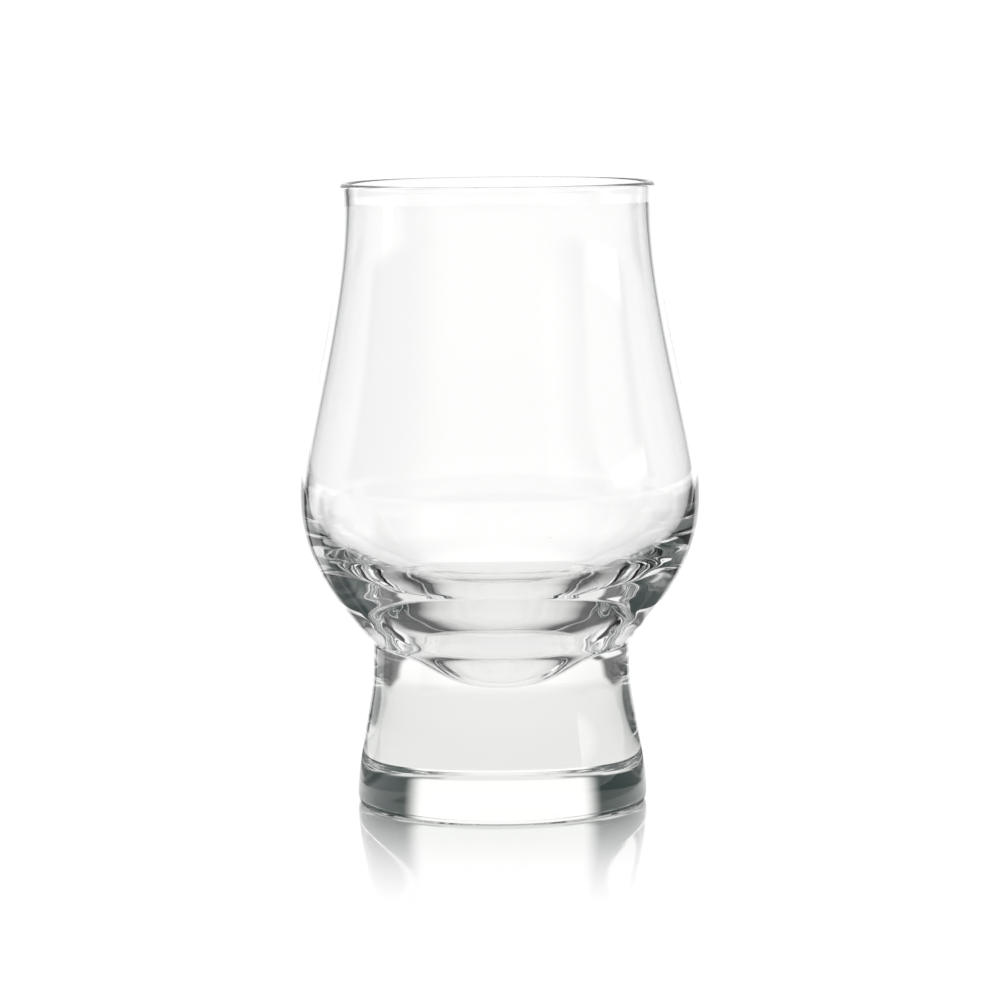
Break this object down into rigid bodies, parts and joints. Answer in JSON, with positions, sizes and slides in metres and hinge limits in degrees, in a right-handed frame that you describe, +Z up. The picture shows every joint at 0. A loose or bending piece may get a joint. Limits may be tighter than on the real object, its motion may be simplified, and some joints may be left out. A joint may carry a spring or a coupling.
{
  "type": "tulip tasting glass",
  "caption": "Small clear tasting glass: a tulip bowl with a thick welled bottom and a narrowed mouth, fused at its waist to a solid flared foot.",
  "frame": {"origin": "centre of the flat underside, on the table", "axes": "+Z up along the axis of the glass, -Y towards the viewer of the picture; the glass is round, so X and Y are free"},
  "size_m": [0.0578, 0.0578, 0.0897],
  "materials": {
    "bowl_glass": "clear, fire-polished",
    "foot_glass": "clear, pressed and fire-polished"
  },
  "bodies": {
    "root": {"bowl": "bowl_glass", "foot": "foot_glass"}
  },
  "joints": []
}
